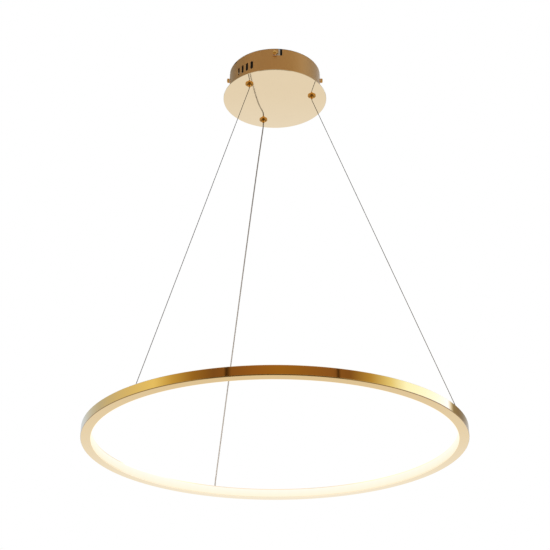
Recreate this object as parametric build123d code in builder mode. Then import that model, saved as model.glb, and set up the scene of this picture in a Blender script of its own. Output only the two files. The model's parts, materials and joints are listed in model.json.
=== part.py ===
"""A ring lamp that hangs from a ceiling canopy on two steel ropes and its power cable.

Z is up and the ceiling is the plane z = 0, with everything below it.
Angles are seen from above, counter-clockwise from +X. Sizes are millimetres and degrees.
"""
import os
from math import cos, degrees, radians, sin, sqrt, tan

from build123d import *

os.makedirs("parts", exist_ok=True)

# ---------------------------------------------------------------- the ring
ring_outer_d = 800.0
ring_width = 21.0  # of the section, outer to inner face
ring_height = 20.0
ring_wall = 1.4
ring_edge = 0.7  # chamfer on the two outer corners
ring_drop = 839.0  # canopy underside to the ring's top face
ridge_depth = 0.6  # of the ridges that hold the cover's legs
ridge_width = 0.8
ridge_inset = 2.6  # from the inner face to the ridges
joint_gap = 0.2  # hairline where the bent bar's ends meet
joint_angle = 140.0

cover_wall = 1.6  # opal cover
cover_leg = 1.2
cover_hook = 0.4  # how far each leg's hook stands out behind its ridge
cover_hook_width = 1.0
cover_fit = 0.15  # between cover and profile

strip_width = 10.0  # flexible LED strip on the inside of the outer wall
strip_thickness = 0.5
chip_size = 2.8
chip_height = 0.7
chip_count = 96

splice_angle = 9.0  # length of the splice bar round the ring
splice_width = 9.0
splice_height = 4.0
splice_gap = 1.0  # to the LED strip
splice_screw_d = 4.0
splice_screw_length = 6.0
splice_screw_turns = (-3.2, -1.4, 1.4, 3.2)  # degrees either side of the joint

# ---------------------------------------------------------------- the canopy
rim_gap = 1.0  # drum rim to ceiling
canopy_height = 68.5  # rim to the disc's underside
drum_d = 216.0
drum_wall = 1.0
disc_d = 244.0
disc_thickness = 2.0
disc_edge = 0.4

vent_count = 4
vent_width = 7.5
vent_length = 21.5
vent_pitch = 7.25  # degrees
vent_middle = 229.2
vent_height = 33.9  # its middle, above the disc's underside

relief_width = 14.0  # shallow relief in the drum's rim
relief_depth = 3.0
relief_angle = 210.0

tab_width = 16.0  # the drum's three tabs, screwed down on the disc
tab_reach = 18.0
stud_d = 3.0
stud_height = 8.0
stud_fit = 0.2
tab_stud_inset = 10.5  # stud to the drum's outer face
nut_flats = 5.5
nut_height = 2.4

# ---------------------------------------------------------------- ceiling bracket and thumbscrews
bracket_thickness = 1.5
bracket_bend = 2.5  # outside radius of the ears' bends
hub_d = 96.0
arm_width = 24.0
ear_length = 21.0  # ceiling to the ear's lower end
ear_gap = 0.6  # ear corners to the drum's inner face
ear_count = 4
ear_angle = 270.0  # the near one, shown in the photograph
cable_hole_d = 20.0
slot_spacing = 66.0
slot_width = 5.2
slot_length = 16.0
earth_screw_d = 4.0
earth_screw_radius = 34.0
earth_screw_angle = 45.0
earth_head_d = 8.0
earth_head_height = 3.0
earth_head_edge = 0.8
earth_washer_margin = 1.0  # past the head

screw_drop = 13.5  # thumbscrew axis below the rim
screw_d = 4.0
screw_length = 12.0  # shank, from the head's underside
screw_fit = 0.05
screw_head_d = 10.5
screw_head_height = 4.6
screw_head_side_count = 16
screw_dome = 1.2
screw_dome_taper = 50.0
screw_washer_d = 10.5
screw_washer_thickness = 0.8
screw_washer_gap = 0.1  # off the drum's wall

notch_width = 9.0  # bayonet notch in the drum: entry from the rim
notch_leg = 6.3  # height of its sideways leg
notch_seat = 0.05  # from the screw's shank up to the edge that hangs on it
notch_turn = 6.8  # degrees from the screw at rest to the entry
notch_end = 0.6  # between the screw and the leg's closed end

# ---------------------------------------------------------------- rope grippers and cable nipple
outlet_inset = 18.0  # their middles to the drum's inner face
outlet_angle_a = 228.3
outlet_angle_b = 348.3
outlet_angle_c = 108.3
flange_d = 19.0
flange_thickness = 2.2
cone_d = 11.5  # where it leaves the flange
cone_tip_d = 6.4
cone_hollow = 0.4  # how far the cone's side is drawn in at its middle
flange_edge = 0.5
cone_height = 4.6
barrel_d = 10.0
barrel_height = 24.0  # above the disc's underside
barrel_fit = 0.2
chamber_d = 7.0
chamber_roof = 4.0
taper_low = -1.0  # heights of the gripping taper, from the disc's underside
taper_high = 7.0
stem_d = 4.2
stem_fit = 0.06
stem_out = 2.8
stem_edge = 0.5
cage_gap = 0.45
cage_top = 9.0
ball_d = 2.0
ball_count = 3
ball_gap = 0.05
spring_wire = 0.5
spring_turns = 3
spring_gap = 0.05
lock_washer_d = 16.0
lock_washer_thickness = 1.0
barrel_nut_flats = 14.0
barrel_nut_height = 5.0
nipple_lip = 1.0  # wall left round the cable at the nipple's mouth

rope_d = 1.5
rope_bore_gap = 0.35
rope_tail = 8.0  # above the gripper
cable_d = 3.0
cable_bore_gap = 0.15
rope_mouth = 3.0  # upright length below a tip before the line slants
cable_mouth = 9.0
cable_bow = (  # radius, angle and drop below the canopy of the points that shape its bow
    (160.0, 105.8, 100.0),
    (249.0, 106.1, 270.0),
    (324.0, 108.2, 510.0),
)

cable_stop_d = 10.0
cable_stop_height = 8.0
cable_stop_screw_d = 3.0
cable_stop_screw_angle = 90.0
cable_stop_screw_out = 0.5

# ---------------------------------------------------------------- where the lines meet the ring
anchor_angle_a = 227.9
anchor_angle_b = 340.6
anchor_angle_c = 111.1
anchor_d = 7.5
anchor_height = 1.5
anchor_shank_d = 5.0
anchor_shank_length = 6.0  # below the ring's top face
anchor_fit = 0.1
anchor_nut_flats = 8.0
anchor_nut_height = 2.7
ferrule_d = 3.4
ferrule_length = 5.0

bush_d = 8.5
bush_height = 2.5
bush_shank_d = 6.0
bush_shank_length = 4.5
bush_nut_flats = 10.0
bush_nut_height = 2.5
connector_length = 16.0
connector_width = 6.0
connector_height = 4.0
connector_edge = 0.6
connector_turn = 4.5  # degrees round the ring from the bush, about
ring_lead_drop = 12.0  # below the ring's top face
ring_lead_bend = 6.0
ring_lead_straight = 7.0  # into the connector

# ---------------------------------------------------------------- driver, terminal block and leads
driver_angle = 18.3  # its long axis
driver_length = 126.0
driver_width = 38.0
driver_height = 26.0
driver_wall = 1.8
driver_lid_thickness = 2.0
driver_edge = 2.0
driver_lid_edge = 0.5
driver_foot = 9.0  # length of the lug at each end
driver_foot_thickness = 2.5
driver_board_thickness = 1.6
driver_board_gap = 0.5
driver_board_height = 4.0  # above the case floor
driver_post = 5.0
driver_headroom = 3.0
driver_port_height = 13.0  # of the lead holes in its end walls
transformer_size = 22.0
transformer_edge = 1.5
capacitor_d = 10.0
capacitor_along = 28.0  # from the board's middle
capacitor_across = 6.6
port_block = 7.0  # solder blocks at the board's ends
lid_screw_d = 2.5
lid_screw_length = 7.0
lid_screw_head_d = 4.6
lid_screw_head_height = 1.2

terminal_angle = 288.3
terminal_radius = 55.0
terminal_length = 30.0
terminal_width = 17.0
terminal_height = 14.0
terminal_ways = 3
terminal_bore = 3.2  # square wire entries
terminal_bore_depth = 6.8
terminal_bore_height = 6.3
terminal_body_height = 9.8  # between the screw towers
terminal_tower = 7.0
terminal_screw_d = 3.4
terminal_screw_sunk = 1.0
lead_d = 2.2
lead_side_count = 6  # hidden leads have flats in place of a round section
cable_side_count = 8
lead_bend = 6.0
lead_spread = 3.4  # between the two mains leads
lead_near = 13.5  # how far they come out of the block before they turn
lead_run_out = 20.0  # past the driver's end
earth_lead_reach = 34.0
cable_tail_bend = 8.0
cable_tail_rise = 9.0  # above the stop before it turns over
cable_tail_across = 60.5  # its turn down, from the driver's middle line
cable_tail_step = 20.0  # its last turn, likewise
lead_hole_gap = 0.4
terminal_screw_slot = 0.8

earth_stud_angle = 253.0
earth_stud_radius = 88.0
lug_d = 7.0
lug_thickness = 0.8
lug_tongue = 9.0

# ---------------------------------------------------------------- worked out from the sizes above
rim_z = -rim_gap
disc_z = rim_z - canopy_height  # underside
disc_top = disc_z + disc_thickness
drum_r = drum_d / 2
drum_inner_r = drum_r - drum_wall
outlet_radius = drum_inner_r - outlet_inset
ring_top = disc_z - ring_drop
ring_bottom = ring_top - ring_height
ring_r = ring_outer_d / 2
ring_inner_r = ring_r - ring_width
ring_middle_r = (ring_r + ring_inner_r) / 2
channel_top = ring_top - ring_wall
channel_bottom = ring_bottom + ring_wall
channel_middle = (channel_top + channel_bottom) / 2
channel_back = ring_r - ring_wall  # inside of the outer wall
tip_z = disc_z - flange_thickness - cone_height - stem_out
screw_z = rim_z - screw_drop
head_r = drum_r + screw_washer_gap + screw_washer_thickness
ear_r = sqrt((drum_inner_r - ear_gap) ** 2 - (arm_width / 2) ** 2)
tab_stud_r = drum_r - tab_stud_inset
tab_angles = [a + 60 for a in (outlet_angle_a, outlet_angle_b, outlet_angle_c)]
rope_bore = rope_d + 2 * rope_bore_gap
cable_bore = cable_d + 2 * cable_bore_gap
ear_angles = [ear_angle + i * 360 / ear_count for i in range(ear_count)]
screw_names = ["near", "right", "far", "left"]


def polar(radius, angle, z):
    """The point at that radius and angle about the lamp's axis."""
    return Vector(radius * cos(radians(angle)), radius * sin(radians(angle)), z)


def deck(radius, angle, z):
    """A level plane at that point, its x axis pointing away from the lamp's axis."""
    return Plane(origin=polar(radius, angle, z), x_dir=polar(1, angle, 0), z_dir=(0, 0, 1))


def facing(radius, angle, z):
    """A plane square to the radius at that angle: its normal points outwards and its y axis up."""
    return Plane(origin=polar(radius, angle, z), x_dir=polar(1, angle + 90, 0), z_dir=polar(1, angle, 0))


def upright(plane):
    """The plane through the same origin that holds the given plane's x axis and normal."""
    return Plane(origin=plane.origin, x_dir=plane.x_dir, z_dir=-plane.y_dir)


def turn(outline, plane, mode=Mode.ADD):
    """Turns a closed outline of (radius, height) points about the plane's normal."""
    with BuildSketch(upright(plane)) as section:
        with BuildLine():
            Polyline(*outline, close=True)
        make_face()
    revolve(section.sketch, axis=Axis(plane.origin, plane.z_dir), mode=mode)


def tube(route, radii, diameter, sides=0):
    """Straight runs joined by tangent arcs, swept by a round section or, for hidden leads, one with flats."""
    with BuildLine() as line:
        FilletPolyline(*route, radius=radii)
    path = line.wire()
    with BuildSketch(Plane(origin=path @ 0, z_dir=path % 0)) as section:
        if sides:
            RegularPolygon(diameter / 2, sides)
        else:
            Circle(diameter / 2)
    sweep(section.sketch, path=path)


def turn_angle(before, corner, after):
    """How far the route turns at a corner."""
    return (corner - before).get_angle(after - corner)


def bend_radii(route, share=0.45):
    """For each corner, the largest arc that takes that share of its shorter run."""
    radii = []
    for before, corner, after in zip(route, route[1:], route[2:]):
        shorter = min((corner - before).length, (after - corner).length)
        radii.append(share * shorter / tan(radians(turn_angle(before, corner, after) / 2)))
    return radii


def write(piece, label):
    """Labels a finished piece and writes it under its own name."""
    piece.part.label = label
    export_step(piece.part, f"parts/{label}.step")


# ---------------------------------------------------------------- ring profile
joint_turn = degrees(joint_gap / ring_r)
ridge_in = ring_inner_r + ridge_inset
ridge_out = ridge_in + ridge_width
joint_plane = Plane(origin=(0, 0, 0), x_dir=polar(1, joint_angle, 0), z_dir=(0, 0, 1))
profile_outline = [
    (ring_inner_r, ring_bottom),
    (ring_r - ring_edge, ring_bottom),
    (ring_r, ring_bottom + ring_edge),
    (ring_r, ring_top - ring_edge),
    (ring_r - ring_edge, ring_top),
    (ring_inner_r, ring_top),
    (ring_inner_r, channel_top),
    (ridge_in, channel_top),
    (ridge_in, channel_top - ridge_depth),
    (ridge_out, channel_top - ridge_depth),
    (ridge_out, channel_top),
    (channel_back, channel_top),
    (channel_back, channel_bottom),
    (ridge_out, channel_bottom),
    (ridge_out, channel_bottom + ridge_depth),
    (ridge_in, channel_bottom + ridge_depth),
    (ridge_in, channel_bottom),
    (ring_inner_r, channel_bottom),
]
with BuildPart() as ring_profile:
    with BuildSketch(upright(joint_plane)):
        with BuildLine():
            Polyline(*profile_outline, close=True)
        make_face()
    revolve(axis=Axis.Z, revolution_arc=360 - joint_turn)
    for angle in (anchor_angle_a, anchor_angle_b):
        with BuildSketch(deck(ring_middle_r, angle, ring_top)):
            Circle(anchor_shank_d / 2 + anchor_fit)
        extrude(amount=-2 * ring_wall, mode=Mode.SUBTRACT)
    with BuildSketch(deck(ring_middle_r, anchor_angle_c, ring_top)):
        Circle(bush_shank_d / 2 + anchor_fit)
    extrude(amount=-2 * ring_wall, mode=Mode.SUBTRACT)
write(ring_profile, "ring_profile")

# ---------------------------------------------------------------- opal cover, hooked behind the ridges
cover_low = channel_bottom
cover_high = channel_top - cover_fit
leg_low = channel_bottom + ridge_depth + cover_fit
leg_high = channel_top - ridge_depth - cover_fit
hook_in = ridge_out + cover_fit
hook_out = hook_in + cover_hook_width
cover_outline = [
    (ring_inner_r, cover_low),
    (ridge_in - cover_fit, cover_low),
    (ridge_in - cover_fit, leg_low),
    (hook_in, leg_low),
    (hook_in, leg_low - cover_hook),
    (hook_out, leg_low - cover_hook),
    (hook_out, leg_low + cover_leg),
    (ring_inner_r + cover_wall, leg_low + cover_leg),
    (ring_inner_r + cover_wall, leg_high - cover_leg),
    (hook_out, leg_high - cover_leg),
    (hook_out, leg_high + cover_hook),
    (hook_in, leg_high + cover_hook),
    (hook_in, leg_high),
    (ridge_in - cover_fit, leg_high),
    (ridge_in - cover_fit, cover_high),
    (ring_inner_r, cover_high),
]
with BuildPart() as diffuser:
    turn(cover_outline, Plane.XY)
write(diffuser, "diffuser")

# ---------------------------------------------------------------- LED strip and its chips
strip_inner = channel_back - strip_thickness
with BuildPart() as led_strip:
    turn(
        [
            (strip_inner, channel_middle - strip_width / 2),
            (channel_back, channel_middle - strip_width / 2),
            (channel_back, channel_middle + strip_width / 2),
            (strip_inner, channel_middle + strip_width / 2),
        ],
        Plane.XY,
    )
write(led_strip, "led_strip")

chip_r = sqrt(strip_inner**2 - (chip_size / 2) ** 2)
with BuildPart() as led_chips:
    with PolarLocations(chip_r, chip_count, start_angle=180 / chip_count):
        with Locations((-chip_height / 2, 0, channel_middle)):
            Box(chip_height, chip_size, chip_size)
write(led_chips, "led_chips")

# ---------------------------------------------------------------- splice bar inside the joint
splice_back = strip_inner - splice_gap
splice_start = joint_angle - splice_angle / 2
splice_plane = Plane(origin=(0, 0, 0), x_dir=polar(1, splice_start, 0), z_dir=(0, 0, 1))
splice_middle_r = splice_back - splice_width / 2
with BuildPart() as ring_splice:
    with BuildSketch(upright(splice_plane)):
        with BuildLine():
            Polyline(
                (splice_back - splice_width, channel_top - splice_height),
                (splice_back, channel_top - splice_height),
                (splice_back, channel_top),
                (splice_back - splice_width, channel_top),
                close=True,
            )
        make_face()
    revolve(axis=Axis.Z, revolution_arc=splice_angle)
    for step in splice_screw_turns:
        with BuildSketch(deck(splice_middle_r, joint_angle + step, channel_top)):
            Circle(splice_screw_d / 2)
        extrude(amount=-splice_height, mode=Mode.SUBTRACT)
write(ring_splice, "ring_splice")

with BuildPart() as splice_screws:
    for step in splice_screw_turns:
        with BuildSketch(deck(splice_middle_r, joint_angle + step, channel_top)):
            Circle(splice_screw_d / 2)
        extrude(amount=-splice_screw_length)
        with BuildSketch(deck(splice_middle_r, joint_angle + step, channel_top - splice_screw_length)):
            RegularPolygon(splice_screw_d / 4, 6)
        extrude(amount=splice_screw_length / 3, mode=Mode.SUBTRACT)
write(splice_screws, "splice_screws")

# ---------------------------------------------------------------- rope anchors on the ring
shank_end = ring_top - anchor_shank_length


def make_anchor(angle):
    """A flanged, hollow stud that the rope runs through to its crimped end."""
    with BuildPart() as anchor:
        turn(
            [
                (rope_bore / 2, -anchor_shank_length),
                (anchor_shank_d / 2, -anchor_shank_length),
                (anchor_shank_d / 2, 0),
                (anchor_d / 2, 0),
                (anchor_d / 2, anchor_height / 2),
                (anchor_d / 2 - anchor_height / 2, anchor_height),
                (rope_bore / 2, anchor_height),
            ],
            deck(ring_middle_r, angle, ring_top),
        )
    return anchor


write(make_anchor(anchor_angle_a), "wire_anchor_a")
write(make_anchor(anchor_angle_b), "wire_anchor_b")

with BuildPart() as anchor_nuts:
    for angle in (anchor_angle_a, anchor_angle_b):
        with BuildSketch(deck(ring_middle_r, angle, channel_top)):
            RegularPolygon(anchor_nut_flats / 2, 6, major_radius=False)
            Circle(anchor_shank_d / 2, mode=Mode.SUBTRACT)
        extrude(amount=-anchor_nut_height)
write(anchor_nuts, "anchor_nuts")

with BuildPart() as wire_ferrules:
    for angle in (anchor_angle_a, anchor_angle_b):
        with BuildSketch(deck(ring_middle_r, angle, shank_end)):
            Circle(ferrule_d / 2)
        extrude(amount=-ferrule_length)
write(wire_ferrules, "wire_ferrules")

# ---------------------------------------------------------------- cable bush, its nut and the lead inside the ring
bush_deck = deck(ring_middle_r, anchor_angle_c, ring_top)
with BuildPart() as cable_bush:
    turn(
        [
            (cable_bore / 2, -bush_shank_length),
            (bush_shank_d / 2, -bush_shank_length),
            (bush_shank_d / 2, 0),
            (bush_d / 2, 0),
            (bush_d / 2, bush_height / 3),
            (bush_shank_d / 2, bush_height),
            (cable_bore / 2, bush_height),
        ],
        bush_deck,
    )
write(cable_bush, "cable_bush")

with BuildPart() as bush_nut:
    with BuildSketch(deck(ring_middle_r, anchor_angle_c, channel_top)):
        RegularPolygon(bush_nut_flats / 2, 6, major_radius=False)
        Circle(bush_shank_d / 2, mode=Mode.SUBTRACT)
    extrude(amount=-bush_nut_height)
write(bush_nut, "bush_nut")

# the connector lies against the strip, midway between two chips
chip_step = 360 / chip_count
connector_angle = round((anchor_angle_c + connector_turn) / chip_step) * chip_step
connector_r = sqrt(strip_inner**2 - (connector_length / 2) ** 2) - connector_width / 2
connector_middle = facing(connector_r, connector_angle, ring_top - ring_lead_drop)
along = connector_middle.x_dir
connector_mouth = connector_middle.origin - along * connector_length / 2
lead_start = polar(ring_middle_r, anchor_angle_c, ring_top - bush_height)
lead_corner = polar(ring_middle_r, anchor_angle_c, ring_top - ring_lead_drop)
with BuildPart() as ring_lead:
    tube(
        [lead_start, lead_corner, connector_mouth - along * ring_lead_straight, connector_mouth],
        ring_lead_bend,
        cable_d,
        cable_side_count,
    )
write(ring_lead, "ring_lead")

with BuildPart() as strip_connector:
    with BuildSketch(connector_middle.offset(-connector_width / 2)):
        RectangleRounded(connector_length, connector_height, connector_edge)
    extrude(amount=connector_width)
write(strip_connector, "strip_connector")

# ---------------------------------------------------------------- canopy disc with its welded studs
driver_stud_r = driver_length / 2 + driver_foot / 2
terminal_plane = deck(terminal_radius, terminal_angle, disc_top)
way_pitch = terminal_length / terminal_ways
terminal_stud = terminal_plane.from_local_coords((0, way_pitch / 2, 0))
nutted_studs = [(polar(tab_stud_r, angle, disc_top), drum_wall) for angle in tab_angles]
nutted_studs += [(polar(end * driver_stud_r, driver_angle, disc_top), driver_foot_thickness) for end in (1, -1)]
nutted_studs += [(polar(earth_stud_radius, earth_stud_angle, disc_top), lug_thickness)]
with BuildPart() as canopy_disc:
    with BuildSketch(Plane.XY.offset(disc_z)):
        Circle(disc_d / 2)
        for angle in (outlet_angle_a, outlet_angle_b, outlet_angle_c):
            with Locations(polar(outlet_radius, angle, 0)):
                Circle(barrel_d / 2 + barrel_fit, mode=Mode.SUBTRACT)
    extrude(amount=disc_thickness)
    chamfer(canopy_disc.edges().filter_by(GeomType.CIRCLE).sort_by(SortBy.RADIUS)[-2:], length=disc_edge)
    with BuildSketch(Plane.XY.offset(disc_top)):
        for stud in [terminal_stud] + [place for place, _ in nutted_studs]:
            with Locations((stud.X, stud.Y)):
                Circle(stud_d / 2)
    extrude(amount=stud_height)
write(canopy_disc, "canopy_disc")

# ---------------------------------------------------------------- canopy drum
with BuildPart() as canopy_drum:
    with BuildSketch(Plane.XY.offset(disc_top)):
        Circle(drum_r)
        Circle(drum_inner_r, mode=Mode.SUBTRACT)
    extrude(amount=rim_z - disc_top)
    for angle in tab_angles:
        with BuildSketch(deck(drum_inner_r, angle, disc_top)):
            with Locations((-tab_reach / 2 + drum_wall / 2, 0)):
                Rectangle(tab_reach + drum_wall, tab_width)
            with Locations((tab_stud_r - drum_inner_r, 0)):
                Circle(stud_d / 2 + stud_fit, mode=Mode.SUBTRACT)
        extrude(amount=drum_wall)
    with BuildSketch(Plane.XY.offset(disc_top)):
        Circle(disc_d / 2)
        Circle(drum_r, mode=Mode.SUBTRACT)
    extrude(amount=drum_wall, mode=Mode.SUBTRACT)
    for i in range(vent_count):
        angle = vent_middle + (i - (vent_count - 1) / 2) * vent_pitch
        with BuildSketch(facing(drum_inner_r - drum_wall, angle, disc_z + vent_height)):
            SlotOverall(vent_length, vent_width, rotation=90)
        extrude(amount=3 * drum_wall, mode=Mode.SUBTRACT)
    with BuildSketch(facing(drum_inner_r - drum_wall, relief_angle, rim_z)):
        Rectangle(relief_width, 2 * relief_depth)
    extrude(amount=4 * drum_wall, mode=Mode.SUBTRACT)
    leg_high_z = screw_z + screw_d / 2 + notch_seat
    for angle in ear_angles:
        with BuildSketch(facing(drum_inner_r - 2 * drum_wall, angle + notch_turn, rim_z)):
            Rectangle(notch_width, 2 * (rim_z - leg_high_z + notch_leg))
        extrude(amount=5 * drum_wall, mode=Mode.SUBTRACT)
        with BuildSketch(facing(drum_inner_r - 2 * drum_wall, angle + notch_turn / 2, leg_high_z - notch_leg / 2)):
            reach = 2 * drum_r * sin(radians(notch_turn / 2))
            with Locations((-(screw_d / 2 + notch_end) / 2, 0)):
                Rectangle(reach + screw_d / 2 + notch_end, notch_leg)
        extrude(amount=5 * drum_wall, mode=Mode.SUBTRACT)
write(canopy_drum, "canopy_drum")

with BuildPart() as stud_nuts:
    for place, clamped in nutted_studs:
        with BuildSketch(Plane(origin=place + Vector(0, 0, clamped))):
            RegularPolygon(nut_flats / 2, 6, major_radius=False)
            Circle(stud_d / 2, mode=Mode.SUBTRACT)
        extrude(amount=nut_height)
write(stud_nuts, "stud_nuts")

# ---------------------------------------------------------------- ceiling bracket
with BuildPart() as ceiling_bracket:
    for turned in (Plane.XZ, Plane.YZ):
        with BuildSketch(turned.offset(-arm_width / 2)):
            with BuildLine():
                FilletPolyline(
                    (-ear_r, -ear_length), (-ear_r, 0), (ear_r, 0), (ear_r, -ear_length), radius=bracket_bend
                )
                inner = ear_r - bracket_thickness
                FilletPolyline(
                    (-inner, -ear_length),
                    (-inner, -bracket_thickness),
                    (inner, -bracket_thickness),
                    (inner, -ear_length),
                    radius=bracket_bend - bracket_thickness,
                )
                Line((-ear_r, -ear_length), (-inner, -ear_length))
                Line((ear_r, -ear_length), (inner, -ear_length))
            make_face()
        extrude(amount=arm_width)
    with BuildSketch():
        Circle(hub_d / 2)
    extrude(amount=-bracket_thickness)
    with BuildSketch():
        Circle(cable_hole_d / 2)
        with Locations((-slot_spacing / 2, 0), (slot_spacing / 2, 0)):
            SlotOverall(slot_length, slot_width)
        with Locations((0, -slot_spacing / 2), (0, slot_spacing / 2)):
            SlotOverall(slot_length, slot_width, rotation=90)
        with Locations(polar(earth_screw_radius, earth_screw_angle, 0)):
            Circle(earth_screw_d / 2)
    extrude(amount=-bracket_thickness, mode=Mode.SUBTRACT)
    for angle in ear_angles:
        with BuildSketch(facing(ear_r, angle, screw_z)):
            Circle(screw_d / 2 + screw_fit)
        extrude(amount=-bracket_thickness, mode=Mode.SUBTRACT)
write(ceiling_bracket, "ceiling_bracket")

earth_deck = deck(earth_screw_radius, earth_screw_angle, 0)
with BuildPart() as earth_screw:
    turn(
        [
            (0, 0),
            (earth_screw_d / 2, 0),
            (earth_screw_d / 2, -bracket_thickness - lug_thickness),
            (earth_head_d / 2, -bracket_thickness - lug_thickness),
            (earth_head_d / 2 - earth_head_edge, -bracket_thickness - lug_thickness - earth_head_height),
            (0, -bracket_thickness - lug_thickness - earth_head_height),
        ],
        earth_deck,
    )
    with BuildSketch(earth_deck.offset(-bracket_thickness - lug_thickness - earth_head_height)):
        Rectangle(earth_head_d, earth_screw_d / 4)
    extrude(amount=earth_head_height / 2, mode=Mode.SUBTRACT)
write(earth_screw, "earth_screw")

with BuildPart() as earth_washer:
    with BuildSketch(earth_deck.offset(-bracket_thickness)):
        Circle(earth_head_d / 2 + earth_washer_margin)
        Circle(earth_screw_d / 2, mode=Mode.SUBTRACT)
    extrude(amount=-lug_thickness)
write(earth_washer, "earth_washer")


# ---------------------------------------------------------------- thumbscrews and their washers
def make_thumbscrew(angle):
    """A domed, many-sided head on a plain shank that reaches through the notch into the bracket's ear."""
    seat = facing(head_r, angle, screw_z)
    with BuildPart() as screw:
        with BuildSketch(seat):
            Circle(screw_d / 2)
        extrude(amount=-screw_length)
        with BuildSketch(seat):
            RegularPolygon(screw_head_d / 2, screw_head_side_count)
        extrude(amount=screw_head_height)
        with BuildSketch(seat.offset(screw_head_height)):
            RegularPolygon(screw_head_d / 2, screw_head_side_count)
        extrude(amount=screw_dome, taper=screw_dome_taper)
    return screw


def make_screw_washer(angle):
    """A plain washer that keeps the head off the drum's finish and travels out with it."""
    with BuildPart() as washer:
        with BuildSketch(facing(head_r, angle, screw_z)):
            Circle(screw_washer_d / 2)
            Circle(screw_d / 2 + screw_fit, mode=Mode.SUBTRACT)
        extrude(amount=-screw_washer_thickness)
    return washer


for side, angle in zip(screw_names, ear_angles):
    write(make_thumbscrew(angle), f"thumbscrew_{side}")
    write(make_screw_washer(angle), f"screw_washer_{side}")

# ---------------------------------------------------------------- rope grippers
cone_low = -flange_thickness - cone_height
chamber_top = barrel_height - chamber_roof
stem_bore_r = stem_d / 2 + stem_fit
taper_rise = (chamber_d / 2 - stem_bore_r) / (taper_high - taper_low)
ball_ring_r = (rope_d + ball_d) / 2 + ball_gap
ball_height = taper_low + (ball_ring_r + ball_d / 2 + ball_gap - stem_bore_r) / taper_rise


def turn_housing(inside, seat):
    """Turns an outlet: hollow cone, flange and barrel outside, the given points inside, from the top down."""
    mouth = (cone_tip_d / 2, cone_low)
    root = (cone_d / 2, -flange_thickness)
    waist = ((mouth[0] + root[0]) / 2 - cone_hollow, (mouth[1] + root[1]) / 2)
    with BuildSketch(upright(seat)) as section:
        with BuildLine():
            Polyline(
                mouth,
                waist,
                root,
                (flange_d / 2 - flange_edge, -flange_thickness),
                (flange_d / 2, flange_edge - flange_thickness),
                (flange_d / 2, 0),
                (barrel_d / 2, 0),
                (barrel_d / 2, barrel_height),
                *inside,
                mouth,
            )
        make_face()
    revolve(section.sketch, axis=Axis(seat.origin, seat.z_dir))


def make_gripper_body(angle):
    """A flanged housing with a tapered chamber that wedges three balls onto the rope."""
    with BuildPart() as body:
        turn_housing(
            [
                (rope_bore / 2, barrel_height),
                (rope_bore / 2, chamber_top),
                (chamber_d / 2, chamber_top),
                (chamber_d / 2, taper_high),
                (stem_bore_r, taper_low),
                (stem_bore_r, cone_low),
            ],
            deck(outlet_radius, angle, disc_z),
        )
    return body


def cage_radius(height):
    """Outside of the ball cage, parallel to the housing's taper."""
    return stem_bore_r + (height - taper_low) * taper_rise - cage_gap


def make_plunger(angle):
    """A stem that is pressed in to let the rope run, with the ball cage on its inner end."""
    stem_top = taper_low + cage_gap / taper_rise - (stem_bore_r - stem_d / 2) / taper_rise
    seat = deck(outlet_radius, angle, disc_z)
    with BuildPart() as plunger:
        turn(
            [
                (rope_bore / 2, cone_low - stem_out),
                (stem_d / 2 - stem_edge, cone_low - stem_out),
                (stem_d / 2, cone_low - stem_out + stem_edge),
                (stem_d / 2, stem_top),
                (cage_radius(taper_high), taper_high),
                (cage_radius(taper_high), cage_top),
                (rope_bore / 2, cage_top),
            ],
            seat,
        )
        for i in range(ball_count):
            out = polar(1, angle + i * 360 / ball_count, 0)
            with BuildSketch(Plane(origin=seat.origin + Vector(0, 0, ball_height), z_dir=out)):
                Circle(ball_d / 2 + ball_gap)
            extrude(amount=chamber_d / 2, mode=Mode.SUBTRACT)
    return plunger


def make_balls(angle):
    """The three gripping balls in their cage."""
    with BuildPart() as balls:
        with Locations(deck(outlet_radius, angle, disc_z)):
            with PolarLocations(ball_ring_r, ball_count):
                with Locations((0, 0, ball_height)):
                    Sphere(ball_d / 2)
    return balls


def make_spring(angle):
    """The coil that pushes the cage down into the taper."""
    base = deck(outlet_radius, angle, disc_z)
    low = cage_top + spring_wire / 2 + spring_gap
    high = chamber_top - spring_wire / 2 - spring_gap
    radius = cage_radius(taper_high) - spring_wire / 2
    with BuildPart() as spring:
        with BuildLine():
            coil = Helix(
                (high - low) / spring_turns,
                high - low,
                radius,
                center=base.origin + Vector(0, 0, low),
            )
        with BuildSketch(Plane(origin=coil @ 0, z_dir=coil % 0)):
            Rectangle(spring_wire, spring_wire)
        sweep(path=coil, is_frenet=True)
    return spring


def make_wire_tail(angle):
    """The upright end of the rope, from the gripper's tip to just above its roof."""
    with BuildPart() as tail:
        with BuildSketch(deck(outlet_radius, angle, tip_z)):
            Circle(rope_d / 2)
        extrude(amount=disc_z + barrel_height + rope_tail - tip_z)
    return tail


for line, angle in (("a", outlet_angle_a), ("b", outlet_angle_b)):
    write(make_gripper_body(angle), f"gripper_body_{line}")
    write(make_plunger(angle), f"gripper_plunger_{line}")
    write(make_balls(angle), f"gripper_balls_{line}")
    write(make_spring(angle), f"gripper_spring_{line}")
    write(make_wire_tail(angle), f"wire_tail_{line}")

# ---------------------------------------------------------------- cable nipple, cable stop, nuts and lock washers
mouth_r = cable_bore / 2 + nipple_lip
with BuildPart() as cable_nipple:
    turn_housing(
        [
            (cable_bore / 2, barrel_height),
            (cable_bore / 2, cone_low - stem_out),
            (mouth_r - stem_edge, cone_low - stem_out),
            (mouth_r, cone_low - stem_out + stem_edge),
            (mouth_r, cone_low),
        ],
        deck(outlet_radius, outlet_angle_c, disc_z),
    )
write(cable_nipple, "cable_nipple")

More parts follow.
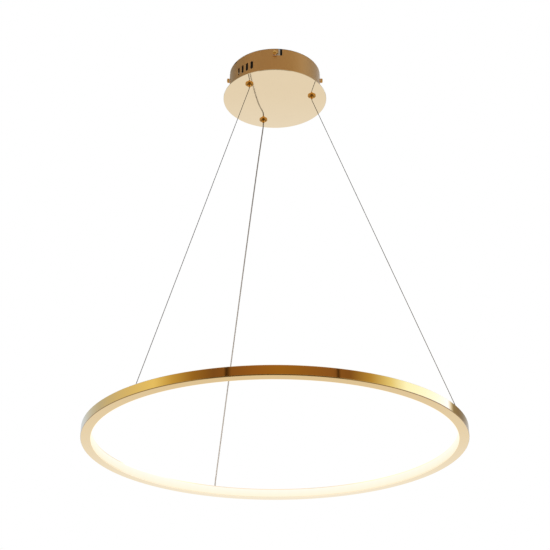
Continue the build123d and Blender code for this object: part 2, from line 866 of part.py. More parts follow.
stop_base = disc_z + barrel_height
stop_screw_z = stop_base + cable_stop_height / 2
stop_screw_angles = (outlet_angle_c + cable_stop_screw_angle, outlet_angle_c - cable_stop_screw_angle)
with BuildPart() as cable_stop:
    with BuildSketch(deck(outlet_radius, outlet_angle_c, stop_base)):
        Circle(cable_stop_d / 2)
        Circle(cable_d / 2, mode=Mode.SUBTRACT)
    extrude(amount=cable_stop_height)
    stop_centre = polar(outlet_radius, outlet_angle_c, stop_screw_z)
    for angle in stop_screw_angles:
        with BuildSketch(Plane(origin=stop_centre, z_dir=polar(1, angle, 0))):
            Circle(cable_stop_screw_d / 2)
        extrude(amount=cable_stop_d, mode=Mode.SUBTRACT)
write(cable_stop, "cable_stop")

with BuildPart() as cable_stop_screws:
    for angle in stop_screw_angles:
        with BuildSketch(Plane(origin=stop_centre + polar(cable_d / 2, angle, 0), z_dir=polar(1, angle, 0))):
            Circle(cable_stop_screw_d / 2)
        extrude(amount=cable_stop_d / 2 - cable_d / 2 + cable_stop_screw_out)
write(cable_stop_screws, "cable_stop_screws")

outlets = (outlet_angle_a, outlet_angle_b, outlet_angle_c)
with BuildPart() as lock_washers:
    for angle in outlets:
        with BuildSketch(deck(outlet_radius, angle, disc_top)):
            Circle(lock_washer_d / 2)
            Circle(barrel_d / 2, mode=Mode.SUBTRACT)
        extrude(amount=lock_washer_thickness)
write(lock_washers, "lock_washers")

with BuildPart() as barrel_nuts:
    for angle in outlets:
        with BuildSketch(deck(outlet_radius, angle, disc_top + lock_washer_thickness)):
            RegularPolygon(barrel_nut_flats / 2, 6, major_radius=False)
            Circle(barrel_d / 2, mode=Mode.SUBTRACT)
        extrude(amount=barrel_nut_height)
write(barrel_nuts, "barrel_nuts")


# ---------------------------------------------------------------- the free lines: two ropes and the power cable
def line_route(outlet_angle, anchor_angle, mouth, low_z, top_z):
    """Upright out of the outlet, one straight slant, upright into the ring."""
    top = polar(outlet_radius, outlet_angle, top_z)
    foot = polar(ring_middle_r, anchor_angle, low_z)
    return [top, top - Vector(0, 0, mouth), foot + Vector(0, 0, mouth + ring_top - low_z), foot]


rope_routes = {
    "a": line_route(outlet_angle_a, anchor_angle_a, rope_mouth, shank_end, tip_z),
    "b": line_route(outlet_angle_b, anchor_angle_b, rope_mouth, shank_end, tip_z),
}
for line, route in rope_routes.items():
    radii = bend_radii(route)
    with BuildPart() as suspension_wire:
        tube(route, radii, rope_d)
    write(suspension_wire, f"suspension_wire_{line}")
    print(f"rope {line}: radii", [round(r, 1) for r in radii])

# the stiffer cable bows outwards on its way down
cable_route = line_route(outlet_angle_c, anchor_angle_c, cable_mouth, ring_top - bush_height, tip_z)
cable_route[2:2] = [polar(radius, angle, disc_z - drop) for radius, angle, drop in cable_bow]
cable_radii = bend_radii(cable_route)
with BuildPart() as power_cable:
    tube(cable_route, cable_radii, cable_d)
write(power_cable, "power_cable")
print("power cable: radii", [round(r, 1) for r in cable_radii])

# ---------------------------------------------------------------- LED driver
driver_plane = Plane(origin=(0, 0, disc_top), x_dir=polar(1, driver_angle, 0), z_dir=(0, 0, 1))
case_height = driver_height - driver_lid_thickness
post_x = driver_length / 2 - driver_wall - driver_post / 2
post_y = driver_width / 2 - driver_wall - driver_post / 2
post_places = [(post_x, post_y), (post_x, -post_y), (-post_x, post_y), (-post_x, -post_y)]


def driver_end(end):
    """The outer face of the case's end wall: 1 is the mains end and -1 the lamp end."""
    return Plane(
        origin=driver_plane.from_local_coords((end * driver_length / 2, 0, driver_port_height)),
        x_dir=driver_plane.y_dir,
        z_dir=driver_plane.x_dir * end,
    )


with BuildPart() as driver_case:
    with BuildSketch(driver_plane):
        RectangleRounded(driver_length, driver_width, driver_edge)
    extrude(amount=case_height)
    with BuildSketch(driver_plane.offset(driver_wall)):
        Rectangle(driver_length - 2 * driver_wall, driver_width - 2 * driver_wall)
    extrude(amount=case_height, mode=Mode.SUBTRACT)
    with BuildSketch(driver_plane.offset(driver_wall)):
        with Locations(*post_places):
            Rectangle(driver_post, driver_post)
    extrude(amount=case_height - driver_wall)
    with BuildSketch(driver_plane):
        for end in (1, -1):
            with Locations((end * (driver_length + driver_foot) / 2, 0)):
                Rectangle(driver_foot, driver_width / 2)
    extrude(amount=driver_foot_thickness)
    with BuildSketch(driver_plane):
        for end in (1, -1):
            with Locations((end * driver_stud_r, 0)):
                Circle(stud_d / 2 + stud_fit)
    extrude(amount=driver_foot_thickness, mode=Mode.SUBTRACT)
    with BuildSketch(driver_plane.offset(case_height)):
        with Locations(*post_places):
            Circle(lid_screw_d / 2)
    extrude(amount=-lid_screw_length, mode=Mode.SUBTRACT)
    with BuildSketch(driver_end(1)):
        SlotOverall(lead_spread + lead_d + lead_hole_gap, lead_d + lead_hole_gap)
    extrude(amount=-driver_wall, mode=Mode.SUBTRACT)
    with BuildSketch(driver_end(-1)):
        Circle((cable_d + lead_hole_gap) / 2)
    extrude(amount=-driver_wall, mode=Mode.SUBTRACT)
write(driver_case, "driver_case")

with BuildPart() as driver_lid:
    with BuildSketch(driver_plane.offset(case_height)):
        RectangleRounded(driver_length, driver_width, driver_edge)
        with Locations(*post_places):
            Circle(lid_screw_d / 2, mode=Mode.SUBTRACT)
    extrude(amount=driver_lid_thickness)
    chamfer(driver_lid.faces().sort_by(Axis.Z)[-1].outer_wire().edges(), length=driver_lid_edge)
write(driver_lid, "driver_lid")

with BuildPart() as driver_screws:
    for x, y in post_places:
        seat = Plane(
            origin=driver_plane.from_local_coords((x, y, driver_height)),
            x_dir=driver_plane.x_dir,
            z_dir=(0, 0, 1),
        )
        turn(
            [
                (0, -lid_screw_length),
                (lid_screw_d / 2, -lid_screw_length),
                (lid_screw_d / 2, 0),
                (lid_screw_head_d / 2, 0),
                (lid_screw_head_d / 2, lid_screw_head_height),
                (0, lid_screw_head_height),
            ],
            seat,
        )
write(driver_screws, "driver_screws")

board_length = driver_length - 2 * (driver_wall + driver_post + driver_board_gap)
board_width = driver_width - 2 * (driver_wall + driver_board_gap)
board_top = driver_wall + driver_board_height + driver_board_thickness
with BuildPart() as driver_board:
    with BuildSketch(driver_plane.offset(driver_wall)):
        Rectangle(board_length / 2, board_width / 3)
    extrude(amount=driver_board_height)
    with BuildSketch(driver_plane.offset(driver_wall + driver_board_height)):
        Rectangle(board_length, board_width)
    extrude(amount=driver_board_thickness)
    with BuildSketch(driver_plane.offset(board_top)):
        RectangleRounded(transformer_size, transformer_size, transformer_edge)
        with Locations((capacitor_along, capacitor_across), (-capacitor_along, -capacitor_across)):
            Circle(capacitor_d / 2)
    extrude(amount=case_height - board_top - driver_headroom)
    with BuildSketch(driver_plane.offset(board_top)):
        for end in (1, -1):
            with Locations((end * (board_length - port_block) / 2, 0)):
                Rectangle(port_block, 2 * port_block)
    extrude(amount=driver_port_height + cable_d - board_top)
write(driver_board, "driver_board")

# ---------------------------------------------------------------- terminal block, its screws and the leads
ways = [(i - (terminal_ways - 1) / 2) * way_pitch for i in range(terminal_ways)]
screw_x = terminal_width / 4
with BuildPart() as terminal_block:
    with BuildSketch(terminal_plane):
        Rectangle(terminal_width, terminal_length)
        with Locations((0, way_pitch / 2)):
            Circle(stud_d / 2 + stud_fit, mode=Mode.SUBTRACT)
    extrude(amount=terminal_body_height)
    with BuildSketch(terminal_plane):
        for way in ways:
            with Locations((-screw_x, way), (screw_x, way)):
                Rectangle(terminal_tower, terminal_tower)
    extrude(amount=terminal_height)
    with BuildSketch(terminal_plane.offset(terminal_height)):
        for way in ways:
            with Locations((-screw_x, way), (screw_x, way)):
                Circle(terminal_screw_d / 2)
    extrude(amount=-(terminal_height - terminal_bore_height), mode=Mode.SUBTRACT)
    for end in (1, -1):
        mouth = Plane(
            origin=terminal_plane.from_local_coords((end * terminal_width / 2, 0, terminal_bore_height)),
            x_dir=terminal_plane.y_dir,
            z_dir=terminal_plane.x_dir * end,
        )
        with BuildSketch(mouth):
            with Locations(*[(way, 0) for way in ways]):
                Rectangle(terminal_bore, terminal_bore)
        extrude(amount=-terminal_bore_depth, mode=Mode.SUBTRACT)
write(terminal_block, "terminal_block")

with BuildPart() as terminal_screws:
    for way in ways:
        for x in (-screw_x, screw_x):
            top = terminal_plane.from_local_coords((x, way, terminal_height - terminal_screw_sunk))
            with BuildSketch(Plane(origin=top, x_dir=terminal_plane.x_dir, z_dir=(0, 0, 1))):
                Circle(terminal_screw_d / 2)
            extrude(amount=terminal_bore_height + lead_d / 2 - terminal_height + terminal_screw_sunk)
            with BuildSketch(Plane(origin=top, x_dir=terminal_plane.x_dir, z_dir=(0, 0, 1))):
                Rectangle(terminal_screw_d, terminal_screw_d / 5)
            extrude(amount=-terminal_screw_slot, mode=Mode.SUBTRACT)
write(terminal_screws, "terminal_screws")

clamp_x = -screw_x + terminal_screw_d / 2  # the leads reach to the far side of their screws
lead_turn_x = driver_length / 2 + lead_run_out
with BuildPart() as mains_leads:
    for way, side in ((ways[1], -1), (ways[2], 1)):
        out = lead_near + (1 - side) / 2 * lead_spread
        start = terminal_plane.from_local_coords((clamp_x, way, terminal_bore_height))
        turned = terminal_plane.from_local_coords((-terminal_width / 2 - out, way, terminal_bore_height))
        run_y = driver_plane.to_local_coords(turned).Y
        turn_x = lead_turn_x + side * lead_spread / 2
        corner = driver_plane.from_local_coords((turn_x, run_y, terminal_bore_height))
        back = driver_plane.from_local_coords((turn_x, side * lead_spread / 2, driver_port_height))
        entry = driver_plane.from_local_coords((board_length / 2, side * lead_spread / 2, driver_port_height))
        tube([start, turned, corner, back, entry], lead_bend, lead_d, lead_side_count)
write(mains_leads, "mains_leads")

# the earth lead runs from the third way to a lug under the nut of the earth stud
earth_stud = polar(earth_stud_radius, earth_stud_angle, disc_top)
earth_start = terminal_plane.from_local_coords((clamp_x, ways[0], terminal_bore_height))
earth_turned = terminal_plane.from_local_coords((-terminal_width / 2 - lead_near, ways[0], terminal_bore_height))
earth_pass = driver_plane.from_local_coords(
    (-earth_lead_reach, driver_plane.to_local_coords(earth_turned).Y, terminal_bore_height)
)
towards = Vector(earth_pass.X - earth_stud.X, earth_pass.Y - earth_stud.Y, 0).normalized()
lug_plane = Plane(origin=earth_stud, x_dir=towards, z_dir=(0, 0, 1))
lug_end = earth_stud + towards * (lug_tongue - lug_d / 2) + Vector(0, 0, lead_d / 2)
with BuildPart() as earth_lead:
    tube([earth_start, earth_turned, earth_pass, lug_end], lead_bend, lead_d, lead_side_count)
    with BuildSketch(lug_plane):
        Circle(lug_d / 2)
        with Locations((lug_tongue / 2, 0)):
            Rectangle(lug_tongue, lead_d)
        Circle(stud_d / 2, mode=Mode.SUBTRACT)
    extrude(amount=lug_thickness)
write(earth_lead, "earth_lead")

# the power cable's tail: up through the nipple and the stop, over and down to the driver's lamp end
tail_top = stop_base + cable_stop_height + cable_tail_rise
tail_level = tail_top - disc_top
tail_start = polar(outlet_radius, outlet_angle_c, tip_z)
tail_up = polar(outlet_radius, outlet_angle_c, tail_top)
tail_over = driver_plane.from_local_coords((-driver_length / 2, cable_tail_across, tail_level))
tail_down = driver_plane.from_local_coords((-lead_turn_x - cable_tail_bend / 2, cable_tail_step, tail_level / 2))
tail_back = driver_plane.from_local_coords((-lead_turn_x, 0, driver_port_height))
tail_entry = driver_plane.from_local_coords((-board_length / 2, 0, driver_port_height))
with BuildPart() as cable_tail:
    tube([tail_start, tail_up, tail_over, tail_down, tail_back, tail_entry], cable_tail_bend, cable_d, cable_side_count)
write(cable_tail, "cable_tail")
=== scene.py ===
"""Looks of the LED ring lamp: finishes for the CAD solids, its cords, springs, screws and a studio.

Metres, with the ceiling at z = 0. Angles are seen from above, counter-clockwise from +X.
"""
import json
import math

import bpy
import numpy as np
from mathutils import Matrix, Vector


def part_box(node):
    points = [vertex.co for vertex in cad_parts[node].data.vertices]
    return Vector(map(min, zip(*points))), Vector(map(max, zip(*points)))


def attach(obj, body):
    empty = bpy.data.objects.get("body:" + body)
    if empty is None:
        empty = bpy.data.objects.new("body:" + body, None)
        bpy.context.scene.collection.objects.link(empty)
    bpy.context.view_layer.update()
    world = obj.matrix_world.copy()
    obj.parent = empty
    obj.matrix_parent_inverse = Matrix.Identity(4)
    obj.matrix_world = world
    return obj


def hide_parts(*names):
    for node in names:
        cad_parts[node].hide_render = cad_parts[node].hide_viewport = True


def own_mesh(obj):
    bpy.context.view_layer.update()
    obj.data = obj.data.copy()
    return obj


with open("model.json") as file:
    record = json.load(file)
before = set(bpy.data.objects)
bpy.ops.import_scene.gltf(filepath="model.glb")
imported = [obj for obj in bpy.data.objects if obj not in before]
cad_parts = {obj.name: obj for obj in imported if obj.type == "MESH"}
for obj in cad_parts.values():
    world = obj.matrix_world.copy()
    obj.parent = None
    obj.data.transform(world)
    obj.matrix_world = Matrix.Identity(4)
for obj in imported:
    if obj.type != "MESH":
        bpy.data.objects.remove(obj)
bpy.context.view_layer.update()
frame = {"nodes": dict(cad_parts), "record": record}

# ---------------------------------------------------------------- sizes
outlet_painted_band_z = -0.0730  # the painted dark reflection round the outlets' cones

rope_diameter = 0.0015
rope_strands = 6
rope_lay = 0.0115  # length of one turn of the strands
cable_diameter = 0.003
core_diameter = 0.00105
core_strands = 7
core_lay = 0.026  # length of one turn of the two cores about each other

spring_wire = 0.00055
spring_coils = 4.5
spring_end_coils = 0.75  # laid flat at each end

head_diameter = 0.0105  # thumbscrews
head_height = 0.0046
head_dome = 0.0012
head_ridges = 48
ridge_depth = 0.00022
head_chamfer = 0.0004
shank_diameter = 0.004
shank_length = 0.012
thread_pitch = 0.0007
thread_depth = 0.00025
thread_fade = 0.0005  # over which the thread starts and ends
screw_z = -0.0145
head_seat_radius = 0.1089
screw_directions = {"near": (0, -1), "right": (1, 0), "far": (0, 1), "left": (-1, 0)}

chip_count = 96
lip_radius = 0.379  # of the end faces of the profile's two inner lips
foot_rounding = 0.0018  # of the profile's lower outer edge

# Each line leaves its outlet upright, slants to the ring and ends upright in its fitting.
# The cable bows outwards on its way down.
rope_a_route = [
    (-0.059206, -0.066451, -0.079100),
    (-0.059206, -0.066451, -0.082100),
    (-0.061279, -0.068736, -0.090555),
    (-0.259058, -0.286714, -0.897045),
    (-0.261131, -0.289000, -0.905500),
    (-0.261131, -0.289000, -0.914500),
]
rope_b_route = [
    (0.087151, -0.018048, -0.079100),
    (0.087151, -0.018048, -0.082100),
    (0.090027, -0.019191, -0.090551),
    (0.364509, -0.128234, -0.897049),
    (0.367385, -0.129377, -0.905500),
    (0.367385, -0.129377, -0.914500),
]
cable_route = [
    (-0.027945, 0.084499, -0.079100),
    (-0.027945, 0.084499, -0.088100),
    (-0.030545, 0.096060, -0.101649),
    (-0.044100, 0.157000, -0.169500),
    (-0.070000, 0.246500, -0.336000),
    (-0.101197, 0.307791, -0.579500),
    (-0.138072, 0.360326, -0.881892),
    (-0.140219, 0.363385, -0.899500),
    (-0.140219, 0.363385, -0.911000),
]

# ---------------------------------------------------------------- nodes


def new_finish(name):
    """A new node material with one surface shader; gives the material, its tree and the shader."""
    material = bpy.data.materials.new(name)
    material.use_nodes = True
    tree = material.node_tree
    shader = tree.nodes["Principled BSDF"]
    return material, tree, shader


def add(tree, kind, inputs=None, **settings):
    """A node of that kind with its settings, and its inputs set to values or linked to sockets."""
    made = tree.nodes.new(kind)
    for name, value in settings.items():
        setattr(made, name, value)
    for name, value in (inputs or {}).items():
        if isinstance(value, bpy.types.NodeSocket):
            tree.links.new(value, made.inputs[name])
        else:
            made.inputs[name].default_value = value
    return made


def place_of(tree):
    """The socket that gives a point's place in the row frame."""
    return add(tree, "ShaderNodeTexCoord").outputs["Object"]


def axes_of(tree):
    """The sockets X, Y and Z of a point's place in the row frame."""
    return add(tree, "ShaderNodeSeparateXYZ", {"Vector": place_of(tree)}).outputs


def result_of(tree, operation, *values):
    """The result of one operation on numbers or sockets."""
    inputs = dict(enumerate(values))
    return add(tree, "ShaderNodeMath", inputs, operation=operation).outputs[0]


def direction_of(tree, axes):
    """A point's direction from the lamp's axis, from -pi to pi."""
    return result_of(tree, "ARCTAN2", axes["Y"], axes["X"])


def noise(tree, place, scale, detail=3.0, stretch=None):
    """Noise over the piece, with features about 1 / scale metres across, stretched if asked."""
    if stretch:
        stretched = add(tree, "ShaderNodeMapping", {"Vector": place, "Scale": stretch})
        place = stretched.outputs["Vector"]
    inputs = {"Vector": place, "Scale": scale, "Detail": detail}
    return add(tree, "ShaderNodeTexNoise", inputs).outputs["Fac"]


def spread(tree, value, low, high, low_in=0.3, high_in=0.7):
    """Maps a pattern, which mostly lies from 0.3 to 0.7, onto a range of numbers."""
    made = add(tree, "ShaderNodeMapRange", {"Value": value, "From Min": low_in, "From Max": high_in,
                                            "To Min": low, "To Max": high})
    return made.outputs["Result"]


def between(tree, factor, first, second):
    """A colour that goes from the first to the second with the factor; each may be a socket."""
    made = add(tree, "ShaderNodeMix", data_type="RGBA")
    for name, value in (("Factor_Float", factor), ("A_Color", first), ("B_Color", second)):
        socket = next(s for s in made.inputs if s.identifier == name)
        if isinstance(value, bpy.types.NodeSocket):
            tree.links.new(value, socket)
        else:
            socket.default_value = (*value, 1)
    return next(s for s in made.outputs if s.identifier == "Result_Color")


def emboss(tree, shader, height, depth, strength=1.0):
    """Raises the surface by a pattern, depth metres at most."""
    made = add(tree, "ShaderNodeBump", {"Height": height, "Distance": depth, "Strength": strength})
    tree.links.new(made.outputs["Normal"], shader.inputs["Normal"])


def mottle(tree, shader, pattern, colour, darkest, palest):
    """Lets the shader's colour go with the pattern between two shares of one colour."""
    shades = [tuple(c * share for c in colour) for share in (darkest, palest)]
    tree.links.new(between(tree, pattern, *shades), shader.inputs["Base Color"])


def gloss(tree, shader, pattern, low, high):
    """Lets the shader's roughness go with the pattern between two values."""
    tree.links.new(spread(tree, pattern, low, high), shader.inputs["Roughness"])


def multiply_colour(tree, shader, tone):
    """Multiplies the shader's colour by a tone's socket."""
    plain = shader.inputs["Base Color"].links[0].from_socket
    made = add(tree, "ShaderNodeVectorMath", {0: plain, 1: tone}, operation="MULTIPLY")
    tree.links.new(made.outputs["Vector"], shader.inputs["Base Color"])


def mixed_shader(tree, factor, first, second):
    """The first node's shader where the factor is 0, and the second's where it is 1."""
    return add(tree, "ShaderNodeMixShader", {0: factor, 1: first.outputs[0], 2: second.outputs[0]})


def glowing(tree, colour):
    """A shader that shows a colour, or a colour's socket, as it is."""
    return add(tree, "ShaderNodeEmission", {"Color": colour, "Strength": 1.0})


def show(tree, made, kind="OUTPUT_MATERIAL"):
    """Makes the node's shader the one that the tree shows."""
    output = next(n for n in tree.nodes if n.type == kind)
    tree.links.new(made.outputs[0], output.inputs["Surface"])


def any_ray(tree, *kinds):
    """1 for a ray of one of these kinds, else 0."""
    path = add(tree, "ShaderNodeLightPath")
    first, *others = [path.outputs[f"Is {kind} Ray"] for kind in kinds]
    for other in others:
        first = result_of(tree, "MAXIMUM", first, other)
    return first


# ---------------------------------------------------------------- finishes


def plated(name, colour, roughness, tone=0.05, grain=900, depth=0.00001, waves=0, lacquer=0.0):
    """Plated or polished metal: patchy tone and gloss and a faint grain.

    A metre of thin sheet or of a long profile also has that many slow waves, and lacquer is the
    share of clear coat on it.
    """
    wave_height = 12.0  # next to the grain's
    material, tree, shader = new_finish(name)
    place = place_of(tree)
    fine = noise(tree, place, grain, 2)
    mottle(tree, shader, noise(tree, place, 26, 4), colour, 1 - tone, 1 + tone)
    gloss(tree, shader, fine, roughness * 0.8, roughness * 1.2)
    shader.inputs["Metallic"].default_value = 1.0
    shader.inputs["Coat Weight"].default_value = lacquer
    height = fine
    if waves:
        height = result_of(tree, "MULTIPLY_ADD", noise(tree, place, waves, 1), wave_height, fine)
    emboss(tree, shader, height, depth)
    return material


def brushed_round(name, colour, roughness, tone=0.06):
    """Satin sheet, brushed round the canopy's wall in long level scratches and then lacquered."""
    material, tree, shader = new_finish(name)
    place = place_of(tree)
    hair = noise(tree, place, 60, 3, stretch=(0.3, 0.3, 30))
    mottle(tree, shader, noise(tree, place, 14, 3), colour, 1 - tone, 1 + tone)
    gloss(tree, shader, hair, roughness * 0.92, roughness * 1.08)
    shader.inputs["Metallic"].default_value = 1.0
    shader.inputs["Coat Weight"].default_value = 1.0
    shader.inputs["Coat Roughness"].default_value = 0.2
    emboss(tree, shader, hair, 0.0000015, 0.5)
    return material


def threaded(name, colour, roughness):
    """Turned metal with a fine upright thread on it, as the studs and barrels have.

    The wave texture repeats each pi / 10 / scale metres.
    """
    material, tree, shader = new_finish(name)
    place = place_of(tree)
    rounds = add(tree, "ShaderNodeTexWave", {"Vector": place, "Scale": math.pi / 10 / thread_pitch,
                                             "Distortion": 0.0}, bands_direction="Z")
    fine = noise(tree, place, 700)
    mottle(tree, shader, fine, colour, 0.92, 1.05)
    gloss(tree, shader, fine, roughness * 0.8, roughness * 1.3)
    shader.inputs["Metallic"].default_value = 1.0
    emboss(tree, shader, rounds.outputs["Fac"], 0.00005, 0.5)
    return material


def moulded(name, colour, roughness, grain=1400):
    """Moulded plastic or insulation: fine spark-erosion grain and a slight mottle."""
    material, tree, shader = new_finish(name)
    place = place_of(tree)
    fine = noise(tree, place, grain, 2)
    mottle(tree, shader, noise(tree, place, 40, 2), colour, 0.94, 1.0)
    gloss(tree, shader, fine, roughness * 0.85, roughness * 1.15)
    emboss(tree, shader, fine, 0.00002, 0.5)
    return material


def circuit_board(name, base, track):
    """Coated board: copper tracks under the lacquer as a grid of rounded paths."""
    material, tree, shader = new_finish(name)
    place = place_of(tree)
    cells = add(tree, "ShaderNodeTexBrick", {"Vector": place, "Scale": 130.0, "Mortar Size": 0.035,
                                             "Color1": (0, 0, 0, 1),
                                             "Color2": (0.12, 0.12, 0.12, 1),
                                             "Mortar": (1, 1, 1, 1)}).outputs["Color"]
    tree.links.new(between(tree, cells, base, track), shader.inputs["Base Color"])
    gloss(tree, shader, noise(tree, place, 500), 0.3, 0.5)
    emboss(tree, shader, cells, 0.00003, 0.6)
    return material


def lit_cover(name, upper, lower, strength):
    """Opal cover lit from behind: whiter towards its upper edge, with the chips' faint rhythm."""
    rhythm = 0.004  # share of the strength
    material, tree, shader = new_finish(name)
    low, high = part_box("diffuser")
    axes = axes_of(tree)
    rise = spread(tree, axes["Z"], 0, 1, low.z, high.z)
    colour_socket = between(tree, rise, lower, upper)
    turns = result_of(tree, "MULTIPLY", direction_of(tree, axes), chip_count)
    ripple = result_of(tree, "COSINE", turns)
    glow = spread(tree, ripple, strength * (1 - rhythm), strength * (1 + rhythm), -1, 1)
    tree.links.new(glow, shader.inputs["Emission Strength"])
    tree.links.new(colour_socket, shader.inputs["Emission Color"])
    shader.inputs["Base Color"].default_value = (0.05, 0.05, 0.05, 1)
    shader.inputs["Specular IOR Level"].default_value = 0.1
    gloss(tree, shader, noise(tree, place_of(tree), 900), 0.5, 0.6)
    return material


def spill_light(material):
    """The cover's light on the profile's inner lips: full on their end faces, gone behind them."""
    strongest = 0.7
    full_to, gone_from = lip_radius + 0.0002, lip_radius + 0.0008
    tree = material.node_tree
    shader = tree.nodes["Principled BSDF"]
    level = add(tree, "ShaderNodeVectorMath", {0: place_of(tree), 1: (1, 1, 0)},
                operation="MULTIPLY").outputs["Vector"]
    radius = add(tree, "ShaderNodeVectorMath", {0: level}, operation="LENGTH").outputs["Value"]
    glow = spread(tree, radius, strongest, 0, full_to, gone_from)
    tree.links.new(glow, shader.inputs["Emission Strength"])
    shader.inputs["Emission Color"].default_value = (1.0, 0.95, 0.76, 1)


def rounded_foot(material, foot_z):
    """Rounds the profile's lower outer edge: its face falls back over its lowest strip."""
    tree = material.node_tree
    shader = tree.nodes["Principled BSDF"]
    face = shader.inputs["Normal"].links[0].from_socket
    fall = spread(tree, axes_of(tree)["Z"], 0, 1, foot_z, foot_z + foot_rounding)
    made = add(tree, "ShaderNodeBump", {"Height": fall, "Distance": foot_rounding * 0.8,
                                        "Strength": 1.0, "Normal": face})
    tree.links.new(made.outputs["Normal"], shader.inputs["Normal"])


def painted_light_by_height(material, low_z, high_z, low_share, high_share):
    """Painted light and shade: scales the colour evenly between two heights, so a line is paler
    near the lit ring below and darker high up.
    """
    tree = material.node_tree
    share = spread(tree, axes_of(tree)["Z"], low_share, high_share, low_z, high_z)
    multiply_colour(tree, tree.nodes["Principled BSDF"], share)


def painted_dark_band(material, middle_z, core, reach, share):
    """Darkens the colour in a level band, as painted shade and painted dark reflection.

    It is full within core of the middle's height and gone past reach. Share is how much is left
    of the colour's red, and less is left of its green and blue, so that the band stays warm.
    """
    tree = material.node_tree
    above = result_of(tree, "SUBTRACT", axes_of(tree)["Z"], middle_z)
    away = result_of(tree, "ABSOLUTE", above)
    amount = spread(tree, away, 1, 0, core, reach)
    tone = between(tree, amount, (1, 1, 1), (share, share * 0.8, share * 0.6))
    multiply_colour(tree, tree.nodes["Principled BSDF"], tone)


# Linear colours.
pale_gold = (0.90, 0.785, 0.585)
ring_gold = (0.78, 0.55, 0.19)
wall_gold = (0.66, 0.38, 0.135)
dark_gold = (0.60, 0.30, 0.05)
screw_gold = (0.66, 0.40, 0.12)

finishes = {
    "gold_mirror": plated("polished pale gold", pale_gold, 0.045, tone=0.015, depth=0.000002,
                          waves=9),
    "gold_ring": plated("bright gold on aluminium", ring_gold, 0.05, tone=0.02, depth=0.000002,
                        waves=7, lacquer=1.0),
    "gold_satin": brushed_round("satin gold", wall_gold, 0.3),
    "gold_dark": plated("dark gold plate", dark_gold, 0.1, tone=0.08),
    "gold_screw": plated("gold plated screw", screw_gold, 0.2, tone=0.08),
    "washer_clear": moulded("nylon washer", (0.58, 0.55, 0.48), 0.45),
    "rope_steel": plated("steel rope", (0.15, 0.14, 0.13), 0.5, tone=0.12),
    "zinc": plated("bright zinc", (0.62, 0.63, 0.65), 0.3, tone=0.12, grain=420),
    "nickel": threaded("nickel plate", (0.52, 0.48, 0.42), 0.22),
    "brass_plain": plated("bare brass", (0.62, 0.42, 0.14), 0.25, tone=0.12),
    "ferrule_alu": plated("crimped aluminium", (0.6, 0.6, 0.61), 0.35, tone=0.1),
    "spring_steel": plated("hardened steel", (0.42, 0.42, 0.43), 0.16),
    "plastic_white": moulded("white moulding", (0.78, 0.78, 0.75), 0.45),
    "board_green": circuit_board("lacquered board", (0.015, 0.09, 0.03), (0.05, 0.2, 0.06)),
    "lead_brown": moulded("brown insulation", (0.10, 0.035, 0.012), 0.35),
    "lead_green": moulded("green insulation", (0.12, 0.30, 0.015), 0.35),
    "strip_white": circuit_board("white flexible board", (0.8, 0.8, 0.77), (0.62, 0.5, 0.3)),
    "chip_yellow": moulded("phosphor", (0.85, 0.6, 0.08), 0.3, grain=3000),
    "opal": lit_cover("lit opal cover", upper=(1.0, 0.955, 0.83), lower=(1.0, 0.90, 0.68),
                      strength=0.97),
    "cable_clear": moulded("clear jacket", (0.34, 0.30, 0.26), 0.3),
}
core_finish = plated("tinned cores", (0.55, 0.53, 0.5), 0.3, tone=0.15)

ring_foot_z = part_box("ring_profile")[0].z
# Painted shade: a painted dark reflection round the outlets' cones and a painted shadow line along
# the profile's lower outer edge.
painted_dark_band(finishes["gold_dark"], outlet_painted_band_z, core=0.0006, reach=0.0016, share=0.15)
painted_dark_band(finishes["gold_ring"], ring_foot_z + foot_rounding / 2, core=0.0005, reach=0.0009,
              share=0.3)
# Painted light and shade on the ropes and cable: paler low down by the lit ring, darker up high.
painted_light_by_height(finishes["rope_steel"], low_z=-0.85, high_z=-0.3, low_share=1.7, high_share=0.5)
painted_light_by_height(finishes["cable_clear"], low_z=-0.85, high_z=-0.2, low_share=1.35, high_share=0.54)
spill_light(finishes["gold_ring"])
rounded_foot(finishes["gold_ring"], ring_foot_z)

slot_of = {part["node"]: part["material_slot"] for part in frame["record"]["subparts"]}
for node_name, node in frame["nodes"].items():
    node.data.materials.clear()
    node.data.materials.append(finishes[slot_of[node_name]])


# ---------------------------------------------------------------- surfaces


def angles_round(count):
    """That many angles, evenly spaced round a circle."""
    return 2 * math.pi * np.arange(count) / count


def grid_faces(points, around=True, caps=True):
    """Vertices and faces from an array of points (rows, columns, 3), closed across if around.

    Each face joins four neighbours of the grid, and each end row is closed by a fan to its middle.
    """
    rows, columns = points.shape[:2]
    index = np.arange(rows * columns).reshape(rows, columns)
    following = np.roll(index, -1, axis=1) if around else index[:, 1:]
    first = index if around else index[:, :-1]
    corners = np.stack([first[:-1], following[:-1], following[1:], first[1:]], axis=-1)
    faces = corners.reshape(-1, 4).tolist()
    vertices = points.reshape(-1, 3)
    if around and caps:
        middles = np.stack([points[0].mean(axis=0), points[-1].mean(axis=0)])
        vertices = np.concatenate([vertices, middles])
        start, end = rows * columns, rows * columns + 1
        faces += np.stack([following[0], first[0], np.full(columns, start)], axis=-1).tolist()
        faces += np.stack([first[-1], following[-1], np.full(columns, end)], axis=-1).tolist()
    return vertices, faces


def make_piece(name, grids, finish, around=True, caps=True):
    """One mesh object from one or more grids of points."""
    vertices, faces, used = [], [], 0
    for points in grids:
        places, polygons = grid_faces(points, around, caps)
        vertices += places.tolist()
        faces += [[i + used for i in face] for face in polygons]
        used += len(places)
    mesh = bpy.data.meshes.new(name)
    mesh.from_pydata(vertices, [], faces)
    mesh.shade_smooth()
    mesh.materials.append(finish)
    piece = bpy.data.objects.new(name, mesh)
    bpy.context.scene.collection.objects.link(piece)
    return piece


